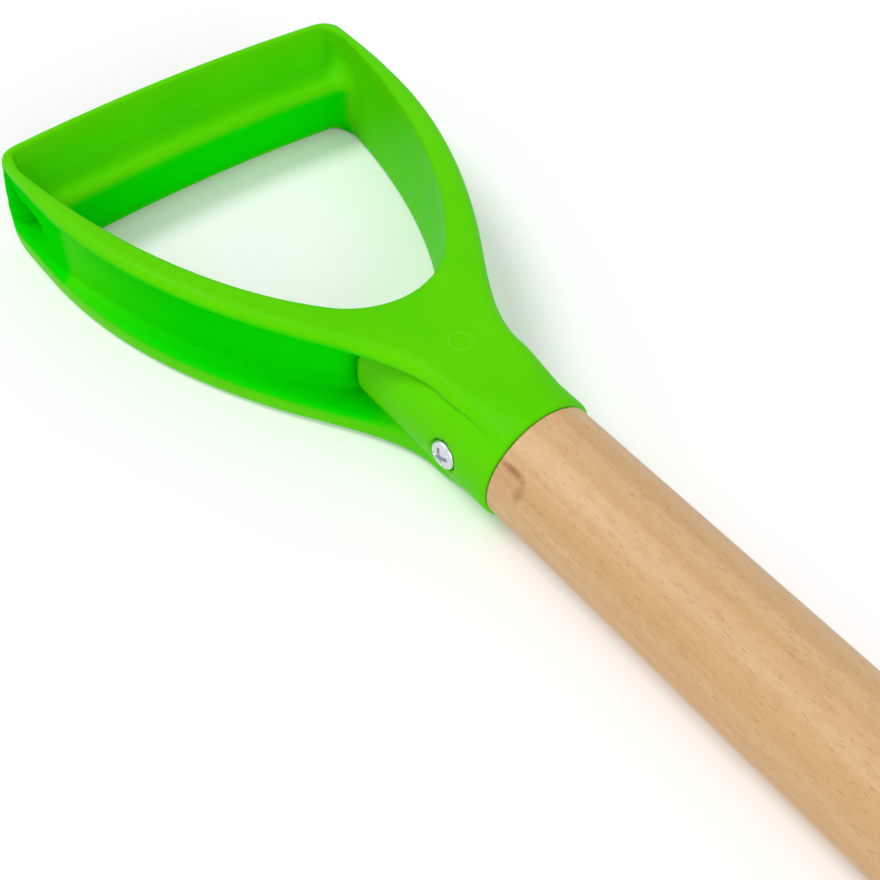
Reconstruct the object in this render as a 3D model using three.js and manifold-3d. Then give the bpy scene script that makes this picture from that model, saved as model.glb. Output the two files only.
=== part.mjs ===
// Children's spade: moulded D-handle, wooden shaft, pressed steel blade, and a screw at each joint.
// Millimetres, +Z up. It lies on its back: the grip is at -X, the cutting edge at +X.
// The origin is below the middle of the overall length, on the surface that the spade lies on.

import * as THREE from 'three';
import { mergeVertices } from 'three/addons/utils/BufferGeometryUtils.js';
import Module from 'manifold-3d';

const wasm = await Module();
wasm.setup();

// Shaft
const SHAFT_DIAMETER = 25;
const SHAFT_SHOWING = 332.5;
const SHAFT_SHOULDER = 1.5;
const HANDLE_SPIGOT_LENGTH = 33;
const BLADE_SPIGOT_LENGTH = 42;
const SPIGOT_CHAMFER = 1;

// Fits
const FIT_CLEARANCE = 0.3;

// D-handle: its socket and yoke. Along the shaft, sizes run from the socket's mouth towards the grip.
const SOCKET_WALL = 2;
const SOCKET_FLAT_DEPTH = 0.3;
const SOCKET_CREASE = 0.15;
const MOUTH_ROUND = 0.7;
const YOKE_FLAT_WIDTH = 20.3;
const YOKE_START = 17;
const YOKE_CREASE_HEIGHT = 9.5;

// D-handle: its arms, which are channels open to the outside
const HOLE_APEX = 38.8;
const ARM_SETBACK = 6.2;
const ARM_SPREAD = 23.6;
const ARM_WIDTH = 9.5;
const ARM_TURN = THREE.MathUtils.degToRad(31.9);
const WALL_TURN = THREE.MathUtils.degToRad(42.7);
const WALL_END_TURN = THREE.MathUtils.degToRad(6);
const WIDEST_REACH = 108;
const UPPER_FLANGE = 3.1;
const LOWER_FLANGE = 5.6;
const FLANGE_ROUND = 1.8;
const WALL_THICKNESS = 1.6;

// D-handle: its grip, a hollow bar below a thin rim, with a palm's side that swells out behind the rim
const GRIP_REACH = 126.5;
const GRIP_WIDTH = 87;
const GRIP_BOW = 2;
const GRIP_CORNER = 4.6;
const LOW_CORNER = 2.6;
const CORNER_TUCK = 0.2;
const CREASE_REACH = 116.8;
const CREASE_TURN = THREE.MathUtils.degToRad(22);
const RIM_THICKNESS = 1.7;
const RIM_ROUND = 0.7;
const GRIP_DEPTH = 11;
const GRIP_FILLET = 6;
const GRIP_UNDER_ROUND = 7;
const LEDGE_HEIGHT = 2.5;
const LEDGE_ROUND = 3;
const PALM_CROWN = 3;
const PALM_DEPTH = 7;
const PALM_HEIGHT = 8;
const GRIP_SHELL = 1.4;
const CORE_DEPTH = 35;
const CORE_DRAFT = 1.4;
const CORE_ROUND = 1.5;

// Screws
const SCREW_SINK = 1.4;
const SCREW_HEAD_DIAMETER = 6.2;
const SCREW_HEAD_HEIGHT = 2;
const SCREW_RIM_HEIGHT = 0.6;
const SCREW_SHANK_DIAMETER = 3.2;
const SCREW_LENGTH = 14;
const SCREW_POINT_LENGTH = 4;
const RECESS_WIDTH = 1;
const RECESS_LENGTH = 3.4;
const RECESS_DEPTH = 1.1;
const HANDLE_SCREW_INSET = 11.6;
const BLADE_SCREW_INSET = 20;

// Blade: along the shaft, sizes run from its socket's mouth towards the cutting edge
const SHEET_THICKNESS = 1.3;
const SEAM_GAP = 5;
const SOCKET_STRAIGHT = 44;
const SHOULDER_REACH = 62;
const SHOULDER_TUCK = 3;
const NECK_RUN = 12;
const BLADE_LENGTH = 178;
const BLADE_WIDTH = 138;
const EDGE_WIDTH = 128;
const EDGE_BULGE = 16;
const CUTTING_THICKNESS = 0.7;
const DISH_DEPTH = 6;
const LENGTH_CURVE = 3;
const FROG_LENGTH = 84;
const FROG_FOOT_WIDTH = 34;
const TREAD_HEIGHT = 6;

// Shares of a stretch of the blade, and powers that set how a curve bends
const SHOULDER_RISE = 0.7;
const SHOULDER_SPREAD = 1.4;
const SHOULDER_SHARE = 0.2;
const TREAD_START = 0.45;
const TREAD_FULL = 0.7;
const TREAD_FADE = 0.17;
const FROG_CREST = 2.6;
const FROG_FLARE = 1.6;

// Sizes that follow from those above
const shaftRadius = SHAFT_DIAMETER / 2;
const spigotRadius = shaftRadius - SHAFT_SHOULDER;
const boreRadius = spigotRadius + FIT_CLEARANCE;
const tubeRadius = boreRadius + SOCKET_WALL;
const halfHeight = tubeRadius - SOCKET_FLAT_DEPTH;
const channelHalf = halfHeight - (UPPER_FLANGE + LOWER_FLANGE) / 2;
const channelMiddle = (LOWER_FLANGE - UPPER_FLANGE) / 2;
const gripHalf = GRIP_WIDTH / 2;
const cornerHalf = gripHalf - CORNER_TUCK;
const gripEnd = cornerHalf - GRIP_CORNER;
const gripEndReach = GRIP_REACH - GRIP_BOW;
const cornerReach = gripEndReach - GRIP_CORNER;
const palmReach = GRIP_REACH + PALM_CROWN;
const sheetRadius = boreRadius + SHEET_THICKNESS / 2;
const bladeReach = SHOULDER_REACH + BLADE_LENGTH;
const totalLength = palmReach + SHAFT_SHOWING + bladeReach;
const screwHoleRadius = SCREW_SHANK_DIAMETER / 2 + FIT_CLEARANCE;

// Fineness of the faceted surfaces
const ROUND_SIDES = 48;
const SCREW_SIDES = 20;
const CURVE_STEPS = 10;
const ARC_STEPS = 6;
const GRIP_STATIONS = 10;
const JOIN_DISTANCE = 1e-3;

// Solids and geometry

// A closed skin becomes a solid, with its faces turned outwards.
function solidOf(geometry) {
  const bare = geometry.clone();
  bare.deleteAttribute('normal');
  bare.deleteAttribute('uv');
  const merged = mergeVertices(bare, JOIN_DISTANCE);
  const vertProperties = new Float32Array(merged.attributes.position.array);
  const triVerts = new Uint32Array(merged.index.array);
  const solid = new wasm.Manifold(new wasm.Mesh({ numProp: 3, vertProperties, triVerts }));
  if (solid.volume() > 0) return solid;
  return new wasm.Manifold(new wasm.Mesh({ numProp: 3, vertProperties, triVerts: triVerts.reverse() }));
}

// Corners that coincide are joined, and the triangles that this closes up are left out.
function geometryOf(solid) {
  const mesh = solid.getMesh();
  const loose = new THREE.BufferGeometry();
  loose.setAttribute('position', new THREE.BufferAttribute(new Float32Array(mesh.vertProperties), 3));
  loose.setIndex(new THREE.BufferAttribute(new Uint32Array(mesh.triVerts), 1));
  const geometry = mergeVertices(loose, JOIN_DISTANCE);
  const corners = geometry.index.array;
  const index = [];
  for (let t = 0; t < corners.length; t += 3) {
    const [a, b, c] = corners.slice(t, t + 3);
    if (a !== b && b !== c && c !== a) index.push(a, b, c);
  }
  geometry.setIndex(index);
  geometry.computeVertexNormals();
  return geometry;
}

function skinOf(positions, index) {
  const geometry = new THREE.BufferGeometry();
  geometry.setAttribute('position', new THREE.Float32BufferAttribute(positions, 3));
  geometry.setIndex(index);
  return geometry;
}

// A solid of revolution about the X axis. Each profile point is (distance along X, radius).
function turned(profile, sides) {
  const points = profile.map(([along, radius]) => new THREE.Vector2(radius, along));
  return new THREE.LatheGeometry(points, sides).rotateZ(-Math.PI / 2);
}

// A plan outline, extruded equally far above and below the shaft's axis.
function plate(outline, half) {
  const shape = new THREE.Shape(outline);
  const geometry = new THREE.ExtrudeGeometry(shape, { depth: 2 * half, bevelEnabled: false });
  return geometry.translate(0, 0, -half);
}

// A closed skin through rings of equally many points, capped at both ends. Each ring flattens to an outline.
function loft(sections, flatten) {
  const clockwise = THREE.ShapeUtils.isClockWise(sections[0].map(flatten));
  const rings = clockwise ? sections.map((ring) => ring.toReversed()) : sections;
  const count = rings[0].length;
  const index = [];
  for (let ring = 0; ring + 1 < rings.length; ring += 1) {
    for (let k = 0; k < count; k += 1) {
      const a = ring * count + k;
      const b = ring * count + ((k + 1) % count);
      index.push(a, b, b + count, a, b + count, a + count);
    }
  }
  const last = (rings.length - 1) * count;
  for (const [i, j, k] of THREE.ShapeUtils.triangulateShape(rings[0].map(flatten), [])) {
    index.push(k, j, i);
  }
  for (const [i, j, k] of THREE.ShapeUtils.triangulateShape(rings.at(-1).map(flatten), [])) {
    index.push(last + i, last + j, last + k);
  }
  return skinOf(rings.flat().flatMap((point) => point.toArray()), index);
}

const inPlan = (point) => new THREE.Vector2(point.x, point.y);
const inElevation = (point) => new THREE.Vector2(point.x, point.z);

// Half of an outline, from the spade's centre plane back to it, is completed with its mirror image.
function mirrored(half) {
  const other = half.filter((point) => point.y > 0).reverse();
  return [...half, ...other.map((point) => new THREE.Vector2(point.x, -point.y))];
}

// A smooth stretch between two points, each with its direction. A pull is a handle's share of the chord.
const SOFT_PULL = 0.29;
const EVEN_PULL = 0.33;
const LONG_PULL = 0.38;

function stretch(start, startTurn, startPull, end, endTurn, endPull) {
  const chord = start.distanceTo(end);
  const handle = (point, turn, pull) => {
    const arm = new THREE.Vector2(Math.cos(turn), Math.sin(turn));
    return point.clone().addScaledVector(arm, pull * chord);
  };
  const from = handle(start, startTurn, startPull);
  const to = handle(end, endTurn, -endPull);
  return new THREE.CubicBezierCurve(start, from, to, end);
}

function pathPoints(curves, steps) {
  const path = new THREE.CurvePath();
  curves.forEach((curve) => path.add(curve));
  return path.getPoints(steps);
}

const ease = (t) => t * t * (3 - 2 * t);
const mix = THREE.MathUtils.lerp;
const clamp = THREE.MathUtils.clamp;

// D-handle

const towardsGrip = Math.PI;
const towardsMiddle = 1.5 * Math.PI;

// The grip bows out towards the palm: how far a place across it lies behind its middle.
function gripBow(y) {
  return GRIP_BOW * (y / gripEnd) ** 2;
}

// One arm's outer edge, from the yoke round the corner to the middle of the grip.
function outerEdge(cornerRound) {
  const yoke = new THREE.Vector2(-YOKE_START, YOKE_FLAT_WIDTH / 2);
  const arm = new THREE.Vector2(-HOLE_APEX - ARM_SETBACK, ARM_SPREAD);
  const widest = new THREE.Vector2(-WIDEST_REACH, gripHalf);
  const corner = new THREE.Vector2(cornerRound - gripEndReach, cornerHalf);
  const end = new THREE.Vector2(-gripEndReach, cornerHalf - cornerRound);
  const middle = new THREE.Vector2(-GRIP_REACH, 0);
  const armTurn = towardsGrip - ARM_TURN;
  const tuckTurn = towardsGrip + Math.atan(2 * CORNER_TUCK / (cornerReach - WIDEST_REACH));
  const bowTurn = towardsMiddle - Math.atan(2 * GRIP_BOW / gripEnd);
  const arms = pathPoints([
    stretch(yoke, towardsGrip, SOFT_PULL, arm, armTurn, EVEN_PULL),
    stretch(arm, armTurn, SOFT_PULL, widest, towardsGrip, LONG_PULL),
  ], CURVE_STEPS);
  const grip = pathPoints([
    stretch(widest, towardsGrip, EVEN_PULL, corner, tuckTurn, EVEN_PULL),
    stretch(corner, tuckTurn, LONG_PULL, end, bowTurn, LONG_PULL),
    stretch(end, bowTurn, EVEN_PULL, middle, towardsMiddle, EVEN_PULL),
  ], ARC_STEPS);
  return [...arms, ...grip.slice(1)];
}

// The wall of the hand opening, from its rounded apex along one arm to the grip's corner.
function armWall() {
  const apex = new THREE.Vector2(-HOLE_APEX, 0);
  const side = new THREE.Vector2(-HOLE_APEX - ARM_SETBACK, ARM_SPREAD - ARM_WIDTH);
  const end = new THREE.Vector2(-CREASE_REACH, cornerHalf - RIM_THICKNESS);
  const outwards = Math.PI / 2;
  const sideTurn = towardsGrip - WALL_TURN;
  return pathPoints([
    stretch(apex, outwards, LONG_PULL, side, sideTurn, SOFT_PULL),
    stretch(side, sideTurn, SOFT_PULL, end, towardsGrip - WALL_END_TURN, LONG_PULL),
  ], CURVE_STEPS);
}

// The opening's corner, which starts with a crease, and the inner face of the thin rim as far as the middle.
function rimFace() {
  const start = new THREE.Vector2(-CREASE_REACH, cornerHalf - RIM_THICKNESS);
  const end = new THREE.Vector2(RIM_THICKNESS - gripEndReach, gripEnd);
  const middle = new THREE.Vector2(RIM_THICKNESS - GRIP_REACH, 0);
  const bowTurn = towardsMiddle - Math.atan(2 * GRIP_BOW / gripEnd);
  return pathPoints([
    stretch(start, towardsGrip + CREASE_TURN, LONG_PULL, end, bowTurn, LONG_PULL),
    stretch(end, bowTurn, EVEN_PULL, middle, towardsMiddle, EVEN_PULL),
  ], ARC_STEPS);
}

// A curve moved sideways, away from the hand opening, by a distance for each of its points.
// Where it ends on the centre plane, its mirror image carries on.
function moved(points, distances) {
  const beyond = (end, next) => (end.y === 0 ? new THREE.Vector2(next.x, -next.y) : end);
  const longer = [beyond(points[0], points[1]), ...points, beyond(points.at(-1), points.at(-2))];
  return points.map((point, i) => {
    const along = new THREE.Vector2().subVectors(longer[i + 2], longer[i]).normalize();
    return new THREE.Vector2(point.x + along.y * distances[i], point.y - along.x * distances[i]);
  });
}

// How far a rounded edge has drawn in at a height.
function edgeInset(height, round) {
  const past = Math.max(Math.abs(height) - halfHeight + round, 0);
  return round - Math.sqrt(round ** 2 - past ** 2);
}

// The flat on the socket at one height: as wide as the yoke at its root, and round as the tube at its mouth.
function socketEdge(height) {
  const radius = tubeRadius + SOCKET_CREASE;
  const level = Math.max(Math.abs(height), YOKE_CREASE_HEIGHT);
  const mouthHalf = Math.sqrt(radius ** 2 - level ** 2);
  const yokeHalf = YOKE_FLAT_WIDTH / 2 - edgeInset(height, FLANGE_ROUND);
  const points = [];
  for (let i = 0; i < ARC_STEPS; i += 1) {
    const x = mix(-MOUTH_ROUND, -YOKE_START, i / ARC_STEPS);
    points.push(new THREE.Vector2(x, mix(mouthHalf, yokeHalf, ease(i / ARC_STEPS))));
  }
  const past = clamp(Math.hypot(mouthHalf, level) - radius + MOUTH_ROUND, 0, MOUTH_ROUND);
  const mouthInset = MOUTH_ROUND - Math.sqrt(MOUTH_ROUND ** 2 - past ** 2);
  points.unshift(new THREE.Vector2(-mouthInset / 2, mouthHalf - MOUTH_ROUND));
  return points;
}

// How far the palm's side stands out behind the rim: most where its underside rounds off.
function palmSwell(height) {
  const fullest = PALM_HEIGHT - halfHeight;
  const share = clamp((height - fullest) / (halfHeight - fullest), 0, 1);
  return PALM_CROWN * (1 - share ** 2);
}

// The outer edge at one height: drawn in where it is rounded, and swelled out at the grip.
function edgeAt(height) {
  const swell = palmSwell(height);
  const edge = outerEdge(mix(GRIP_CORNER, LOW_CORNER, swell / PALM_CROWN));
  const insets = edge.map((point) => {
    const share = clamp((-point.x - HOLE_APEX) / (cornerReach - HOLE_APEX), 0, 1);
    return -edgeInset(height, mix(FLANGE_ROUND, RIM_ROUND, share));
  });
  return moved(edge, insets).map((point) => {
    const share = clamp((-point.x - WIDEST_REACH) / (cornerReach - WIDEST_REACH), 0, 1);
    return new THREE.Vector2(point.x - swell * ease(share), point.y);
  });
}

// The handle's whole body before it is opened: outlines at several heights, with rounded edges.
function handleBlock() {
  const shoulder = halfHeight - FLANGE_ROUND;
  const heights = [YOKE_CREASE_HEIGHT, (YOKE_CREASE_HEIGHT + shoulder) / 2];
  for (const turn of [0, Math.PI / 6, Math.PI / 3, Math.PI / 2]) {
    heights.push(shoulder + FLANGE_ROUND * Math.sin(turn));
  }
  const below = heights.map((height) => -height).reverse();
  const between = [-YOKE_CREASE_HEIGHT / 2, 0, YOKE_CREASE_HEIGHT / 2];
  const rings = [...below, ...between, ...heights].map((height) => {
    const half = [...socketEdge(height), ...edgeAt(height)];
    return mirrored(half).map((point) => new THREE.Vector3(point.x, point.y, height));
  });
  return loft(rings, inPlan);
}

// The space between the flanges, outside the wall of the hand opening and round the grip's corner.
function channelSpace() {
  const inner = [...armWall(), ...rimFace().slice(1, ARC_STEPS + 1)];
  const wall = moved(inner, inner.map(() => WALL_THICKNESS));
  const last = new THREE.Vector2(-2 * GRIP_REACH, wall.at(-1).y);
  const outside = [[-2 * GRIP_REACH, GRIP_WIDTH], [GRIP_REACH, GRIP_WIDTH], [GRIP_REACH, 0]];
  return mirrored([...wall, last, ...outside.map(([x, y]) => new THREE.Vector2(x, y))]);
}

// Places along the grip, evenly spread between its fillets and again along each fillet.
function gripStations() {
  const wall = cornerHalf - RIM_THICKNESS;
  const filletStart = wall - GRIP_FILLET;
  const half = [];
  for (let i = 1; i <= GRIP_STATIONS; i += 1) {
    const share = 2 * i / GRIP_STATIONS;
    half.push(share <= 1 ? share * filletStart : mix(filletStart, wall, share - 1));
  }
  return [...half.map((y) => -y).reverse(), 0, ...half];
}

// The grip bar: a section with a rounded inner face, bowed along its length and filleted into both arms.
function gripBar() {
  const filletStart = cornerHalf - RIM_THICKNESS - GRIP_FILLET;
  const rings = gripStations().map((y) => {
    const past = clamp(Math.abs(y) - filletStart, 0, GRIP_FILLET);
    const fillet = GRIP_FILLET - Math.sqrt(GRIP_FILLET ** 2 - past ** 2);
    return gripSection(GRIP_DEPTH - GRIP_REACH + gripBow(y) + fillet, y);
  });
  return loft(rings, inElevation);
}

// The section reaches past the outline and the underside, where the handle's own faces bound it.
function gripSection(face, y) {
  const outside = -2 * GRIP_REACH;
  const under = -2 * halfHeight;
  const underRound = GRIP_UNDER_ROUND - halfHeight - FIT_CLEARANCE;
  const path = new THREE.Path();
  path.moveTo(outside, under);
  path.lineTo(face - GRIP_UNDER_ROUND, under);
  path.absarc(face - GRIP_UNDER_ROUND, underRound, GRIP_UNDER_ROUND, -Math.PI / 2, 0);
  path.absarc(face - LEDGE_ROUND, LEDGE_HEIGHT - LEDGE_ROUND, LEDGE_ROUND, 0, Math.PI / 2);
  path.lineTo(outside, LEDGE_HEIGHT);
  return path.getPoints(ARC_STEPS).map((point) => new THREE.Vector3(point.x, y, point.y));
}

// The round of the palm's side, an elliptical arc drawn in by a wall. It turns from the rim to the underside.
function palmArc(wall, bow, startTurn, endTurn) {
  const x = PALM_DEPTH - palmReach + bow;
  const z = PALM_HEIGHT - halfHeight;
  const start = Math.PI + startTurn;
  const end = Math.PI + endTurn;
  const arc = new THREE.EllipseCurve(x, z, PALM_DEPTH - wall, PALM_HEIGHT - wall, start, end);
  return arc.getPoints(ARC_STEPS);
}

// Places along the palm, from beyond one end of the grip to beyond the other.
function palmStations() {
  const stretched = (gripHalf + GRIP_CORNER) / (cornerHalf - RIM_THICKNESS);
  return gripStations().map((y) => y * stretched);
}

// The space behind and below the grip, which rounds its palm's side.
function palmSpace() {
  const outside = -2 * GRIP_REACH;
  const under = -2 * halfHeight;
  const rings = palmStations().map((y) => {
    const arc = palmArc(-FIT_CLEARANCE, gripBow(y), 0, Math.PI / 2);
    const corners = [
      new THREE.Vector2(arc.at(-1).x, under),
      new THREE.Vector2(outside, under),
      new THREE.Vector2(outside, arc[0].y),
    ];
    return [...arc, ...corners].map((point) => new THREE.Vector3(point.x, y, point.y));
  });
  return loft(rings, inElevation);
}

// The space inside the palm's shell, which bounds the channel so that its lips run on round the grip's end.
function shellSpace() {
  const fullest = PALM_HEIGHT - halfHeight;
  const rings = palmStations().map((y) => {
    const bow = gripBow(y);
    const side = [];
    for (let i = 0; i < ARC_STEPS; i += 1) {
      const height = mix(halfHeight, fullest, i / ARC_STEPS);
      const x = GRIP_SHELL + bow - GRIP_REACH - palmSwell(height);
      side.push(new THREE.Vector2(x, height));
    }
    const arc = palmArc(GRIP_SHELL, bow, 0, Math.PI / 2);
    const front = [
      new THREE.Vector2(GRIP_REACH, arc.at(-1).y),
      new THREE.Vector2(GRIP_REACH, halfHeight),
    ];
    return [...side, ...arc, ...front].map((point) => new THREE.Vector3(point.x, y, point.y));
  });
  return loft(rings, inElevation);
}

// The drafted core that hollows the grip bar from one end. It flares round the bar's fillet into the channel.
function gripCore(side) {
  const flareReach = GRIP_FILLET + WALL_THICKNESS;
  const flareStart = cornerHalf - RIM_THICKNESS - GRIP_FILLET;
  const places = [gripHalf + GRIP_CORNER];
  for (let i = ARC_STEPS; i >= 0; i -= 1) {
    const turn = i / ARC_STEPS * Math.PI / 2;
    places.push(flareStart + flareReach * Math.sin(turn));
  }
  places.push(gripHalf - CORE_DEPTH);
  const rings = places.map((y) => {
    const bow = gripBow(y);
    const past = clamp(y - flareStart, 0, flareReach);
    const flare = flareReach - Math.sqrt(flareReach ** 2 - past ** 2);
    const wall = GRIP_SHELL + CORE_DRAFT * clamp((gripHalf - y) / CORE_DEPTH, 0, 1);
    const front = GRIP_DEPTH - GRIP_REACH + bow - wall + flare;
    const top = LEDGE_HEIGHT - wall;
    const arc = palmArc(wall, bow, Math.PI / 8, Math.PI / 4);
    const bottom = arc.at(-1).y;
    const corners = [
      new THREE.Vector2(front - CORE_ROUND, bottom),
      new THREE.Vector2(front, bottom + CORE_ROUND),
      new THREE.Vector2(front, top),
      new THREE.Vector2(arc[0].x, top),
    ];
    return [...arc, ...corners].map((point) => new THREE.Vector3(point.x, side * y, point.y));
  });
  return loft(rings, inElevation);
}

// The socket's tube, cut flat above and below, under the flats of the yoke.
function handleTube() {
  const back = WALL_THICKNESS / 2 - HOLE_APEX;
  const tube = turned([
    [back, 0],
    [back, tubeRadius],
    [-MOUTH_ROUND, tubeRadius],
    [0, tubeRadius - MOUTH_ROUND],
    [0, 0],
  ], ROUND_SIDES);
  const level = new THREE.BoxGeometry(4 * HOLE_APEX, 4 * tubeRadius, 2 * (halfHeight - MOUTH_ROUND));
  return solidOf(tube).intersect(solidOf(level));
}

function handleBore() {
  const depth = HANDLE_SPIGOT_LENGTH + FIT_CLEARANCE;
  return solidOf(turned([
    [-depth, 0],
    [-depth, boreRadius],
    [MOUTH_ROUND, boreRadius],
    [MOUTH_ROUND, 0],
  ], ROUND_SIDES));
}

function dHandle() {
  const opening = plate(mirrored([...armWall(), ...rimFace().slice(1)]), 2 * halfHeight);
  const clear = solidOf(opening).subtract(solidOf(gripBar()));
  const between = plate(channelSpace(), channelHalf).translate(0, 0, channelMiddle);
  const channel = solidOf(between).intersect(solidOf(shellSpace()));
  let handle = solidOf(handleBlock()).subtract(clear).subtract(channel).subtract(solidOf(palmSpace()));
  handle = handle.add(handleTube());
  for (const side of [-1, 1]) {
    handle = handle.subtract(solidOf(gripCore(side)));
  }
  return handle.subtract(handleBore()).subtract(handleScrewHole()).subtract(screwPocket());
}

// Screws

// A screw along -Z, with its head's seat at the origin.
function screwGeometry() {
  const head = SCREW_HEAD_DIAMETER / 2;
  const shank = SCREW_SHANK_DIAMETER / 2;
  const crown = SCREW_HEAD_HEIGHT - SCREW_RIM_HEIGHT;
  const profile = new THREE.Path();
  profile.moveTo(0, -SCREW_LENGTH);
  profile.lineTo(shank, SCREW_POINT_LENGTH - SCREW_LENGTH);
  profile.lineTo(shank, 0);
  profile.lineTo(head, 0);
  profile.absellipse(0, SCREW_RIM_HEIGHT, head, crown, 0, Math.PI / 2);
  const body = new THREE.LatheGeometry(profile.getPoints(ARC_STEPS), SCREW_SIDES);
  let screw = solidOf(body.rotateX(Math.PI / 2));
  for (const [width, length] of [[RECESS_WIDTH, RECESS_LENGTH], [RECESS_LENGTH, RECESS_WIDTH]]) {
    const slot = new THREE.BoxGeometry(width, length, 2 * RECESS_DEPTH);
    slot.translate(0, 0, SCREW_HEAD_HEIGHT);
    screw = screw.subtract(solidOf(slot));
  }
  return geometryOf(screw);
}

function drilled(depth) {
  const hole = new THREE.CylinderGeometry(screwHoleRadius, screwHoleRadius, depth, SCREW_SIDES);
  return hole.rotateX(Math.PI / 2);
}

// Both holes run from outside the socket to just past the screw's point.
const handleSeat = tubeRadius - SCREW_SINK + FIT_CLEARANCE;
const bladeSeat = sheetRadius + SHEET_THICKNESS / 2 + FIT_CLEARANCE;
const holeDepth = SCREW_LENGTH + 2 * FIT_CLEARANCE;

function handleScrewHole() {
  const hole = drilled(holeDepth).rotateX(Math.PI / 2);
  return solidOf(hole.translate(-HANDLE_SCREW_INSET, holeDepth / 2 - handleSeat - FIT_CLEARANCE, 0));
}

// The head of the handle's screw is sunk into the socket's wall.
function screwPocket() {
  const radius = SCREW_HEAD_DIAMETER / 2 + FIT_CLEARANCE;
  const pocket = new THREE.CylinderGeometry(radius, radius, 2 * SCREW_SINK, SCREW_SIDES);
  return solidOf(pocket.translate(-HANDLE_SCREW_INSET, -tubeRadius, 0));
}

function bladeScrewHole() {
  const x = SHAFT_SHOWING + BLADE_SCREW_INSET;
  return solidOf(drilled(holeDepth).translate(x, 0, bladeSeat + FIT_CLEARANCE - holeDepth / 2));
}

// Shaft

function shaft() {
  const start = -HANDLE_SPIGOT_LENGTH;
  const end = SHAFT_SHOWING + BLADE_SPIGOT_LENGTH;
  const first = FIT_CLEARANCE;
  const last = SHAFT_SHOWING - FIT_CLEARANCE;
  const profile = [
    [start, 0],
    [start, spigotRadius - SPIGOT_CHAMFER],
    [start + SPIGOT_CHAMFER, spigotRadius],
    [first, spigotRadius],
    [first, shaftRadius],
    [last, shaftRadius],
    [last, spigotRadius],
    [end - SPIGOT_CHAMFER, spigotRadius],
    [end, spigotRadius - SPIGOT_CHAMFER],
    [end, 0],
  ];
  return solidOf(turned(profile, ROUND_SIDES)).subtract(handleScrewHole()).subtract(bladeScrewHole());
}

// Blade: one sheet, drawn as rows across it from the socket's mouth to the cutting edge

const ARCH_STEPS = 8;
const WING_STEPS = 9;
const TREAD_STEPS = 3;
const TREAD_BEND_STEPS = 2;
const SOCKET_ROWS = 2;
const NECK_ROWS = 10;
const PLATE_ROWS = 15;

// Each row: where its middle and its tip lie, and how far it is from socket (0) to plate (1).
function bladeRows() {
  const seam = SEAM_GAP / 2;
  const shoulder = BLADE_WIDTH / 2 - SHOULDER_TUCK;
  const neckEnd = SHOULDER_REACH + NECK_RUN;
  const rows = [];
  for (let i = 0; i <= SOCKET_ROWS; i += 1) {
    const x = SOCKET_STRAIGHT * i / SOCKET_ROWS;
    rows.push({ middle: x, tip: x, half: seam, opened: 0, tread: 0 });
  }
  for (let i = 1; i <= NECK_ROWS; i += 1) {
    const s = i / NECK_ROWS;
    rows.push({
      middle: mix(SOCKET_STRAIGHT, neckEnd, s),
      tip: mix(SOCKET_STRAIGHT, SHOULDER_REACH, s ** SHOULDER_RISE),
      half: mix(seam, shoulder, s ** SHOULDER_SPREAD),
      opened: ease(s),
      tread: ease(clamp((s - TREAD_START) / (TREAD_FULL - TREAD_START), 0, 1)),
    });
  }
  for (let i = 1; i <= PLATE_ROWS; i += 1) {
    const s = i / PLATE_ROWS;
    const side = mix(BLADE_WIDTH, EDGE_WIDTH, s) / 2;
    rows.push({
      middle: mix(neckEnd, bladeReach, s),
      tip: mix(SHOULDER_REACH, bladeReach - EDGE_BULGE, s),
      half: mix(shoulder, side, ease(Math.min(s / SHOULDER_SHARE, 1))),
      opened: 1,
      tread: ease(Math.max(1 - s / TREAD_FADE, 0)),
    });
  }
  return rows;
}

// The plate's height: dished across, and slightly curved along its length.
function plateHeight(x, y) {
  const resting = SHEET_THICKNESS / 2 - halfHeight;
  const across = DISH_DEPTH * (2 * y / BLADE_WIDTH) ** 2;
  const along = LENGTH_CURVE * (2 * (x - SHOULDER_REACH - BLADE_LENGTH / 2) / BLADE_LENGTH) ** 2;
  return resting + across + along;
}

// The middle of a row: an arch that goes from the socket's half round to the frog and then to the plate.
function archPoints({ middle, opened }) {
  const fade = ease(clamp(1 - (middle - SHOULDER_REACH) / FROG_LENGTH, 0, 1));
  const rise = (sheetRadius - plateHeight(middle, 0)) * fade;
  const foot = FROG_FOOT_WIDTH / 2;
  const points = [];
  for (let k = 0; k <= ARCH_STEPS; k += 1) {
    const a = k / ARCH_STEPS;
    const turn = a * Math.PI / 2;
    const y = mix(sheetRadius * Math.sin(turn), foot * a, opened);
    const frog = plateHeight(middle, foot * a) + rise * (1 - a ** FROG_CREST) ** FROG_FLARE;
    points.push(new THREE.Vector2(y, mix(sheetRadius * Math.cos(turn), frog, opened)));
  }
  return points;
}

// The side of a row: the rest of the socket's round up to its seam, opening out into the plate's wing.
function wingPoints({ middle, half, opened }, start) {
  const seamTurn = Math.PI - Math.asin(SEAM_GAP / 2 / sheetRadius);
  const seamHeight = sheetRadius * Math.cos(seamTurn);
  const end = new THREE.Vector2(half, mix(seamHeight, plateHeight(middle, half), opened));
  const startTurn = mix(-Math.PI / 2, 0, opened);
  const endTurn = mix(-seamTurn, Math.atan(4 * DISH_DEPTH / BLADE_WIDTH), opened);
  const arcHandle = sheetRadius * Math.tan((seamTurn - Math.PI / 2) / 4) * 4 / 3;
  const pull = mix(arcHandle / start.distanceTo(end), EVEN_PULL, opened);
  const wing = stretch(start, startTurn, pull, end, endTurn, pull);
  return { points: wing.getPoints(WING_STEPS).slice(1), endTurn };
}

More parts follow.
